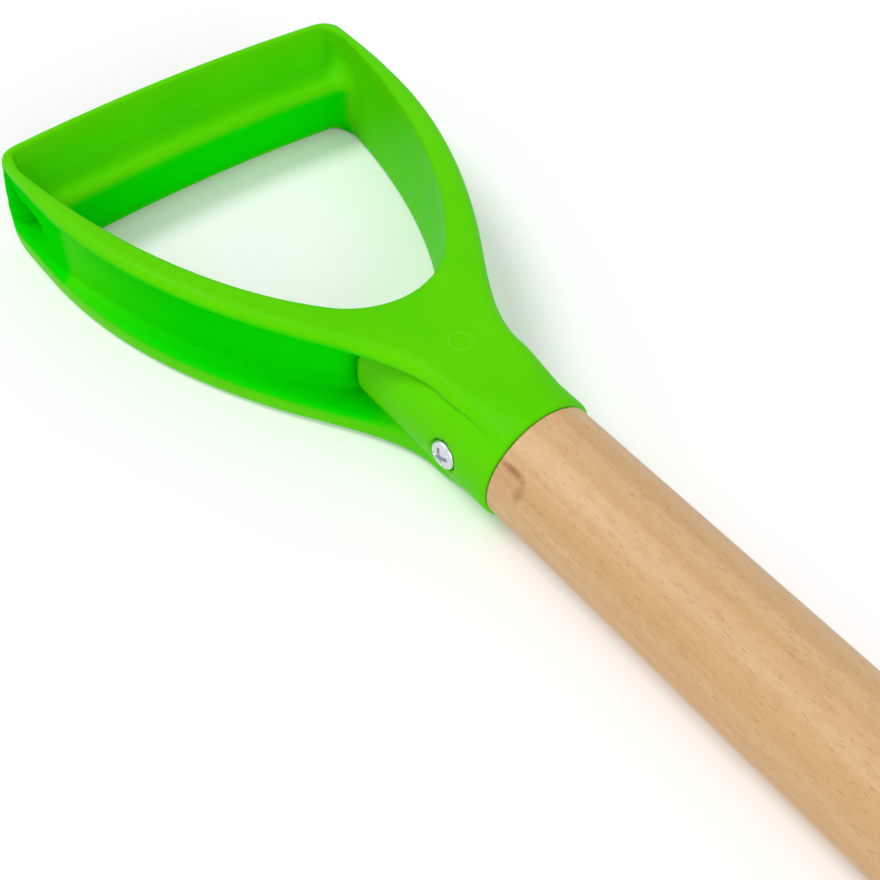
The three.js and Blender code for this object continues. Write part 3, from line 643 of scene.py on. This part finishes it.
    def outline(self, height: float) -> np.ndarray:
        """Half of the plan outline at a height, from the mouth's middle to the grip's.

        Over the socket its half width goes smoothly from the tube's chord at the mouth to the yoke's flat.

        Args:
            height: the height above the shaft's axis.

        Returns:
            The outline's points.
        """
        level = min(max(abs(height), self.crease_height), self.half_height)
        radius = self.tube_radius + self.socket_crease
        mouth_half = math.sqrt(radius**2 - level**2)
        share = np.linspace(0.0, 1.0, self.spans, endpoint=False)
        socket = np.stack([
            mix(-self.mouth_round / 2, -self.yoke_start, share),
            mix(mouth_half, self.yoke_half, ease(share)),
        ], 1)
        swell = float(self.swell(np.array(height)))
        edge = self.outer_edge(mix(self.grip_corner, self.low_corner, swell / self.palm_crown))
        grip = (-edge[:, 0] - self.widest_reach) / (self.corner_reach - self.widest_reach)
        edge[:, 0] -= swell * ease(grip)
        return np.vstack([[-self.mouth_round / 2, 0.0], socket, edge])

    def grip_face(self, x: np.ndarray, y: np.ndarray) -> np.ndarray:
        """How far a place lies in front of the grip's bowed face."""
        return x - (self.grip_depth - self.grip_reach + self.bow(y))

    def grip_bar(self, x: np.ndarray, y: np.ndarray, z: np.ndarray) -> np.ndarray:
        """The grip's lower mass: in front a bowed face, above a rounded ledge and below a rounded underside."""
        face = self.grip_face(x, y)
        above = round_max(face, z - self.ledge_height, self.ledge_round)
        below = round_max(face, -self.half_height - z, self.under_round)
        return np.maximum(above, below)

    def palm(self, x: np.ndarray, y: np.ndarray, z: np.ndarray) -> np.ndarray:
        """The quarter round below the palm, an ellipse in each section across the grip."""
        across = np.maximum(self.palm_depth - self.palm_reach + self.bow(y) - x, 0.0) / self.palm_depth
        down = np.maximum(self.palm_height - self.half_height - z, 0.0) / self.palm_height
        return (np.hypot(across, down) - 1.0) * min(self.palm_depth, self.palm_height)

    def distances(self, x: np.ndarray, y: np.ndarray, z: np.ndarray) -> tuple[np.ndarray, np.ndarray]:
        """The field of half of the handle, and the painted shade of its recesses.

        Args:
            x, y, z: the grid's places along each axis, with y at least 0.

        Returns:
            For each node its signed distance to the surface, and a share that is 1 on the faces of the channels, of
            the cores and of the grip below its ledge, and about half in the cove above the ledge. It falls along
            the channels' webs towards the grip, where the wall is thin and lets light through.
        """
        plan_x, plan_y = np.meshgrid(x, y, indexing="ij")
        layers = [outline_distance(plan_x, plan_y, self.outline(height)) for height in z]
        outside = np.stack(layers, 2)
        opening = outline_distance(plan_x, plan_y, self.opening_edge())[:, :, None]
        x, y, z = x[:, None, None], y[None, :, None], z[None, None, :]
        level = np.abs(z) - self.half_height
        upper = np.interp(-x, self.edge_places, self.upper_rounds)
        lower = np.interp(-x, self.edge_places, self.lower_rounds)
        rounds = np.where(z > 0.0, upper, lower)
        palm = self.palm(x, y, z)
        block = np.maximum(round_max(outside, level, rounds), palm)
        hand = round_max(opening, -self.grip_bar(x, y, z), self.grip_fillet)
        solid = round_max(block, -hand, self.inner_round)

        skin = np.maximum(palm, self.bow(y) - self.grip_reach - self.swell(z) - x)
        in_grip = ease((-x - self.widest_reach) / (self.crease_reach - self.widest_reach))
        draft = self.core_draft * in_grip * np.clip((self.grip_half - y) / self.core_depth, 0.0, 1.0)
        core_end = np.where(x < -self.widest_reach, self.grip_half - self.core_depth - y, -self.core_depth)
        between = np.abs(z - self.channel_middle) - self.channel_half
        hollow = round_max(self.wall + draft - hand, between, self.channel_fillet)
        hollow = round_max(hollow, skin + self.shell + draft, self.channel_fillet)
        hollow = np.maximum(hollow, core_end)
        solid = round_max(solid, -hollow, self.lip_round)

        radius = np.hypot(y, z)
        tube = round_max(radius - self.tube_radius, x, self.mouth_round)
        tube = np.maximum(np.maximum(tube, self.wall / 2 - self.hole_apex - x), level)
        solid = round_min(solid, tube, self.tube_fillet)
        bore = np.maximum(radius - self.bore_radius, -self.bore_depth - x)
        # Painted shade: a share that is 1 near the faces of the channels, the cores and the grip's front below its
        # ledge, fading out over a short distance, and about half in the cove above the ledge.
        grip_front = np.maximum(np.abs(self.grip_face(x, y)), z + self.ledge_round - self.ledge_height)
        channel_face = np.abs(hollow) + self.painted_shade_fade * ease((x + self.hole_apex) / self.yoke_start)
        away = np.minimum(channel_face, np.maximum(grip_front, opening)) - self.step
        cove = np.hypot(x + self.grip_reach - self.rim - self.bow(y), z - self.ledge_height)
        cove = np.where(opening < self.inner_round, 0.45 * ease(1.0 - cove / self.grip_depth), 0.0)
        recess = np.maximum(ease(1.0 - away / self.painted_shade_fade), cove)
        # Painted light: the painted shade lessens along the webs towards the grip, where the wall is thin.
        along_web = np.clip((-x - self.web_start) / (self.web_end - self.web_start), 0.0, 1.0)
        recess = recess * (1.0 - self.web_painted_light * along_web**2 * ease((x + self.web_end) / self.wall + 0.5))
        return round_max(solid, -bore, self.mouth_round / 2), recess

    def build(self) -> bpy.types.Object:
        """The moulding's mesh: the half field and its mirror image, less the screw's hole, as a smooth net."""
        margin = 2 * self.step
        x = np.arange(-self.palm_reach - margin, margin, self.step)
        y = np.arange(0.0, self.grip_half + margin, self.step)
        z = np.arange(-self.half_height - margin, self.half_height + margin, self.step)
        half, recess = self.distances(x, y, z)
        values = np.concatenate([half[:, :0:-1], half], 1)
        across = np.concatenate([-y[:0:-1], y])
        hole = np.hypot(x[:, None, None] + self.screw_inset, z[None, None, :]) - self.screw_hole
        sink = np.maximum(hole + self.screw_hole - self.sink_radius, across[None, :, None] + self.screw_sink)
        values = np.maximum(values, -np.minimum(np.maximum(hole, across[None, :, None]), sink))
        origin = np.array([x[0], across[0], z[0]])
        points, quads = surface_nets(values, origin, self.step)
        piece = mesh_piece("d_handle_moulding", points, quads)
        # Each corner takes the share of painted shade, kept as the mesh attribute that the plastic reads.
        share = sampled(recess, np.abs(points - [x[0], 0.0, z[0]]) / self.step)
        layer = piece.data.attributes.new(PAINTED_SHADE, "FLOAT", "POINT")
        layer.data.foreach_set("value", share.astype(np.float32))
        return piece


@dataclass
class Shaft:
    """The turned wooden shaft, with a spigot at each end."""

    radius: float = 12.5
    spigot_radius: float = 11.0
    showing: float = 332.5
    handle_spigot: float = 33.0
    blade_spigot: float = 42.0
    clearance: float = 0.1
    chamfer: float = 1.0
    edge: float = 0.25
    sides: int = 128
    spans: int = 60

    def build(self) -> bpy.types.Object:
        """A surface of revolution about X: a profile of distance and radius carried round the axis."""
        first, last = self.clearance, self.showing - self.clearance
        start, end = -self.handle_spigot, self.showing + self.blade_spigot
        along = np.linspace(first + self.edge, last - self.edge, self.spans + 1)
        profile = np.vstack([
            [[start, 0.0], [start, self.spigot_radius - self.chamfer], [start + self.chamfer, self.spigot_radius]],
            [[first, self.spigot_radius], [first, self.radius - self.edge]],
            np.stack([along, np.full_like(along, self.radius)], 1),
            [[last, self.radius - self.edge], [last, self.spigot_radius]],
            [[end - self.chamfer, self.spigot_radius], [end, self.spigot_radius - self.chamfer], [end, 0.0]],
        ])
        turn = np.linspace(0.0, 2.0 * math.pi, self.sides, endpoint=False)
        points = np.stack(np.broadcast_arrays(
            profile[:, :1], profile[:, 1:] * np.cos(turn), profile[:, 1:] * np.sin(turn)), -1)
        quads = grid_quads(len(profile), self.sides, round_columns=True)[:, ::-1]
        return mesh_piece("shaft_turned", points.reshape(-1, 3), quads, 40.0)


@dataclass
class Screw:
    """A pan-head wood screw with a cross recess."""

    name: str
    seat: np.ndarray
    axis: np.ndarray
    aside: np.ndarray
    head_radius: float = 3.1
    head_height: float = 2.0
    rim_height: float = 0.6
    shank_radius: float = 1.6
    length: float = 14.0
    point_length: float = 4.0
    recess_width: float = 0.95
    recess_length: float = 4.2
    recess_depth: float = 1.5
    recess_edge: float = 0.2
    sides: int = 160
    rings: int = 44

    def build(self) -> bpy.types.Object:
        """A surface of revolution about the screw's axis, whose crown is pressed in along two crossed slots.

        A slot's depth is a smooth step across its width times the root of a parabola along its length, so it is
        deepest at the middle.
        """
        crown = self.head_height - self.rim_height
        turn = np.linspace(0.0, 2.0 * math.pi, self.sides, endpoint=False)[None, :]
        rise = np.linspace(0.0, math.pi / 2, self.rings)
        profile = np.vstack([
            [[0.0, -self.length], [self.shank_radius, self.point_length - self.length], [self.shank_radius, 0.0]],
            [[self.head_radius - 0.15, 0.0], [self.head_radius, 0.15]],
            np.stack([self.head_radius * np.cos(rise), self.rim_height + crown * np.sin(rise) ** 0.8], 1),
        ])
        profile[:, 0] = np.maximum(profile[:, 0], 0.0)
        across, up = profile[:, :1] * np.cos(turn), profile[:, :1] * np.sin(turn)
        height = np.broadcast_to(profile[:, 1:], across.shape).copy()
        recess = np.maximum(self.slot(across, up), self.slot(up, across))
        height -= np.where(height > self.rim_height, recess, 0.0)
        third = np.cross(self.axis, self.aside)
        sideways = across[..., None] * self.aside + up[..., None] * third
        points = self.seat + (sideways + height[..., None] * self.axis)
        quads = grid_quads(len(profile), self.sides, round_columns=True)[:, ::-1]
        return mesh_piece(self.name, points.reshape(-1, 3), quads, 50.0)

    def slot(self, along: np.ndarray, across: np.ndarray) -> np.ndarray:
        """The depth of one slot of the recess."""
        inside = ease((self.recess_width / 2 - np.abs(across)) / self.recess_edge + 0.5)
        reach = 1.0 - (2.0 * np.abs(along) / self.recess_length) ** 2
        return self.recess_depth * inside * np.clip(reach, 0.0, 1.0) ** 0.5


@dataclass
class Blade:
    """The pressed sheet: a rolled socket with an open seam, a frog, a dished plate and turned-up treads."""

    start: float = 332.5
    sheet: float = 1.3
    cutting: float = 0.7
    socket_radius: float = 11.95
    seam: float = 5.0
    socket_straight: float = 44.0
    shoulder_reach: float = 62.0
    shoulder_tuck: float = 3.0
    neck_run: float = 12.0
    length: float = 178.0
    width: float = 138.0
    edge_width: float = 128.0
    edge_bulge: float = 16.0
    dish: float = 6.0
    length_curve: float = 3.0
    frog_length: float = 84.0
    frog_foot: float = 17.0
    tread_height: float = 6.0
    resting: float = -12.35
    rows: tuple[int, int, int] = (12, 60, 70)
    columns: tuple[int, int, int] = (28, 40, 8)

    def plate_height(self, x: np.ndarray, y: np.ndarray) -> np.ndarray:
        """The plate's height: a parabola across it and a shallow one along it."""
        across = self.dish * (2 * y / self.width) ** 2
        along = self.length_curve * (2 * (x - self.shoulder_reach - self.length / 2) / self.length) ** 2
        return self.resting + across + along

    def stations(self) -> dict[str, np.ndarray]:
        """For each row: where its middle and tip lie, its half width, how far it is opened, and its tread."""
        reach = self.shoulder_reach + self.length
        shoulder = self.width / 2 - self.shoulder_tuck
        neck_end = self.shoulder_reach + self.neck_run
        socket = np.linspace(0.0, self.socket_straight, self.rows[0] + 1)
        neck = np.linspace(0.0, 1.0, self.rows[1] + 1)[1:]
        plate = np.linspace(0.0, 1.0, self.rows[2] + 1)[1:]
        side = mix(self.width, self.edge_width, plate) / 2
        flat = np.ones_like
        none = np.zeros_like
        return {
            "middle": np.concatenate([
                socket, mix(self.socket_straight, neck_end, neck), mix(neck_end, reach, plate)]),
            "tip": np.concatenate([
                socket, mix(self.socket_straight, self.shoulder_reach, neck**0.7),
                mix(self.shoulder_reach, reach - self.edge_bulge, plate)]),
            "half": np.concatenate([
                flat(socket) * self.seam / 2, mix(self.seam / 2, shoulder, neck**1.4),
                mix(shoulder, side, ease(plate / 0.2))]),
            "opened": np.concatenate([none(socket), ease(neck), flat(plate)]),
            "tread": np.concatenate([none(socket), ease((neck - 0.45) / 0.25), ease(1.0 - plate / 0.17)]),
        }

    def half_surface(self) -> np.ndarray:
        """Half of the sheet's middle surface, row by row from its middle to its tip.

        Each row is an arch, then a cubic curve out to the wing, then a lip that bends up by its tread.

        Returns:
            Points in an array of rows, columns and coordinates.
        """
        rows = {key: value[:, None] for key, value in self.stations().items()}
        middle, half, opened, tread = rows["middle"], rows["half"], rows["opened"], rows["tread"]
        radius = self.socket_radius
        a = np.linspace(0.0, 1.0, self.columns[0] + 1)
        turn = a * math.pi / 2
        rise = radius - self.plate_height(middle, 0.0)
        rise = rise * ease(1.0 - (middle - self.shoulder_reach) / self.frog_length)
        frog = self.plate_height(middle, self.frog_foot * a) + rise * (1.0 - a**2.6) ** 1.6
        arch_y = mix(radius * np.sin(turn), self.frog_foot * a, opened)
        arch_z = mix(radius * np.cos(turn), frog, opened)

        seam_turn = math.pi - math.asin(self.seam / 2 / radius)
        start = np.stack([arch_y[:, -1:], arch_z[:, -1:]], -1)
        end = np.stack([half, mix(radius * math.cos(seam_turn), self.plate_height(middle, half), opened)], -1)
        start_turn = mix(-math.pi / 2, 0.0, opened)
        end_turn = mix(-seam_turn, math.atan(4 * self.dish / self.width), opened)
        chord = np.linalg.norm(end - start, axis=-1)
        pull = mix(radius * math.tan((seam_turn - math.pi / 2) / 4) * 4 / 3 / chord, 0.33, opened) * chord
        first = start + pull[..., None] * np.stack([np.cos(start_turn), np.sin(start_turn)], -1)
        second = end - pull[..., None] * np.stack([np.cos(end_turn), np.sin(end_turn)], -1)
        t = np.linspace(0.0, 1.0, self.columns[1] + 1)[1:, None]
        s = 1.0 - t
        wing = s**3 * start + 3 * s**2 * t * first + 3 * s * t**2 * second + t**3 * end

        lip = np.linspace(0.0, 1.0, self.columns[2] + 1)[1:]
        bent = mix(end_turn, math.pi / 2, tread * np.minimum(lip / 0.6, 1.0))
        stride = mix(self.sheet, self.tread_height, tread) / self.columns[2]
        lip_y = wing[:, -1:, 0] + np.cumsum(stride * np.cos(bent), 1)
        lip_z = wing[:, -1:, 1] + np.cumsum(stride * np.sin(bent), 1)

        y = np.concatenate([arch_y, wing[..., 0], lip_y], 1)
        z = np.concatenate([arch_z, wing[..., 1], lip_z], 1)
        parts = [8 * a, 8 + 9 * t[:, 0], 17 + 3 * lip]
        share = mix(np.concatenate(parts) / 20, y / y[:, -1:], opened)
        x = mix(middle, rows["tip"], share**2)
        return np.stack([x, y, z], -1)

    def build(self) -> bpy.types.Object:
        """The sheet with its thickness: two skins, half of it along the normals, and a border between them."""
        half = self.half_surface()
        other = half[:, :0:-1] * np.array([1.0, -1.0, 1.0])
        middle = np.concatenate([other, half], 1)
        rows, columns = middle.shape[:2]
        normal = np.cross(np.gradient(middle, axis=0), np.gradient(middle, axis=1))
        normal /= np.linalg.norm(normal, axis=-1, keepdims=True)
        thinning = ease((np.arange(rows) - rows + 9) / 8.0)[:, None, None]
        offset = normal * mix(self.sheet, self.cutting, thinning) / 2
        skins = np.stack([middle + offset, middle - offset]) + np.array([self.start, 0.0, 0.0])
        quads = grid_quads(rows, columns)
        count = rows * columns
        number = np.arange(count).reshape(rows, columns)
        border = np.concatenate([number[0], number[1:, -1], number[-1, -2::-1], number[-2:0:-1, 0]])
        after = np.roll(border, -1)
        strip = np.stack([border, after, after + count, border + count], 1)
        faces = np.vstack([quads, quads[:, ::-1] + count, strip])
        return mesh_piece("blade_pressed", skins.reshape(-1, 3), faces, 50.0)


@dataclass
class Studio:
    """Camera, lamps, world and floor."""

    eye: tuple = (96.434, -109.64, 180.055)
    right: tuple = (0.63116, 0.77489, 0.03428)
    down: tuple = (0.61229, -0.47062, -0.63531)
    forward: tuple = (-0.47616, 0.42198, -0.7715)
    focal: float = 1248.23
    picture: float = 880.0
    sensor: float = 36.0
    ambient: float = 0.47
    floor_half: float = 3.0
    floor_points: int = 9
    floor_drop: float = 0.2
    near_glow: float = 0.14
    far_glow: float = 0.6
    glow_reach: tuple = (0.9, 2.6)
    lamps: list = field(default_factory=lambda: [
        ("key_lamp", (-1.3, -1.15, 2.6), 1.3, 39.0),
        ("fill_lamp", (2.6, -0.5, 1.3), 2.0, 32.0),
    ])

    def camera(self) -> None:
        """Places the camera where the photograph was taken from."""
        data = bpy.data.cameras.new("camera")
        data.sensor_width = self.sensor
        data.lens = self.focal * self.sensor / self.picture
        data.clip_start = 0.01
        held = bpy.data.objects.new("camera", data)
        bpy.context.scene.collection.objects.link(held)
        place = (np.array(self.eye) + HANDLE_ORIGIN) * MM
        columns = np.stack([self.right, -np.array(self.down), -np.array(self.forward)], 1)
        matrix = np.eye(4)
        matrix[:3, :3] = columns
        matrix[:3, 3] = place
        held.matrix_world = Matrix(matrix.tolist())
        bpy.context.scene.camera = held

    def light(self) -> None:
        """Hangs the soft lamps round the handle."""
        target = Vector((HANDLE_ORIGIN * MM).tolist())
        for name, offset, size, power in self.lamps:
            data = bpy.data.lights.new(name, "AREA")
            data.shape = "DISK"
            data.size = size
            data.energy = power
            lamp = bpy.data.objects.new(name, data)
            bpy.context.scene.collection.objects.link(lamp)
            lamp.location = target + Vector(offset)
            lamp.rotation_euler = (-Vector(offset)).to_track_quat("-Z", "Y").to_euler()

    def world(self) -> None:
        """White for the camera and for reflections, and a plain soft light for the rest."""
        world = bpy.data.worlds.new("studio")
        bpy.context.scene.world = world
        graph = Graph(world)
        path = self.seen(graph)
        strength = self.ambient + (1.0 - self.ambient) * path
        shader = graph.node("ShaderNodeBackground", None, {"Color": (1.0, 1.0, 1.0, 1.0), "Strength": strength})
        graph.node("ShaderNodeOutputWorld", None, {"Surface": shader})

    @staticmethod
    def seen(graph: Graph) -> Wire:
        """1 for a ray from the camera, a reflection or glass, and 0 for the rest."""
        wires = [graph.node("ShaderNodeLightPath", output=name)
                 for name in ("Is Camera Ray", "Is Glossy Ray", "Is Transmission Ray")]
        return graph.math("MINIMUM", wires[0] + wires[1] + wires[2], 1.0)

    def floor(self) -> None:
        """A plain white floor that keeps the shadow, and glows for seen rays, more so far from the object."""
        half = self.floor_half / MM
        side = np.linspace(-half, half, self.floor_points)
        x, y = np.meshgrid(side, side, indexing="ij")
        level = np.full_like(x, -HANDLE_ORIGIN[2] - self.floor_drop)
        points = np.stack([x, y, level], -1).reshape(-1, 3)
        piece = mesh_piece("floor", points, grid_quads(self.floor_points, self.floor_points))
        made = bpy.data.materials.new("white_floor")
        graph = Graph(made)
        paper = graph.noise(graph.place(), 40.0, 2.0)
        colour = graph.mix(paper * 0.2, linear(250, 250, 250), linear(246, 246, 247))
        matte = graph.shade(Base_Color=colour, Roughness=0.9, Specular_IOR_Level=0.0)
        far = graph.length(graph.place()).between(*self.glow_reach)
        strength = self.seen(graph) * (self.near_glow + self.far_glow * far)
        glow = graph.node("ShaderNodeEmission", None, {"Color": (1.0, 1.0, 1.0, 1.0), "Strength": strength})
        graph.surface(graph.node("ShaderNodeAddShader", None, {0: matte, 1: glow}))
        piece.data.materials.append(made)

    def build(self) -> None:
        """Sets the whole studio up."""
        bpy.context.scene.view_settings.view_transform = "Standard"
        self.camera()
        self.light()
        self.world()
        self.floor()


def dress(piece: bpy.types.Object, material: bpy.types.Material, node: str) -> None:
    """Gives a piece its finish and ties it to the frame in a node's place.

    Args:
        piece: the piece.
        material: its finish.
        node: the CAD node that it stands for.
    """
    piece.data.materials.append(material)
    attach(piece, BODY)
    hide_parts(node)
    LOG.info("%s stands for %s: %d faces", piece.name, node, len(piece.data.polygons))


def main() -> None:
    """Builds the studio and the pieces."""
    logging.basicConfig(level=logging.INFO)
    Studio().build()
    plastic = MouldedPlastic().material()
    zinc = ZincPlate().material()
    along_x, along_y, along_z = np.eye(3)
    turned = np.array([math.cos(HANDLE_SCREW_TURN), 0.0, math.sin(HANDLE_SCREW_TURN)])
    handle_screw = Screw("handle_screw_head", HANDLE_SCREW_SEAT, -along_y, turned)
    blade_screw = Screw("blade_screw_head", BLADE_SCREW_SEAT, along_z, along_x)
    dress(DHandle().build(), plastic, "d_handle")
    dress(Shaft().build(), VarnishedWood().material(), "shaft")
    dress(Blade().build(), PowderCoat().material(), "blade")
    dress(handle_screw.build(), zinc, "handle_screw")
    dress(blade_screw.build(), zinc, "blade_screw")


if __name__ == "__main__":
    main()
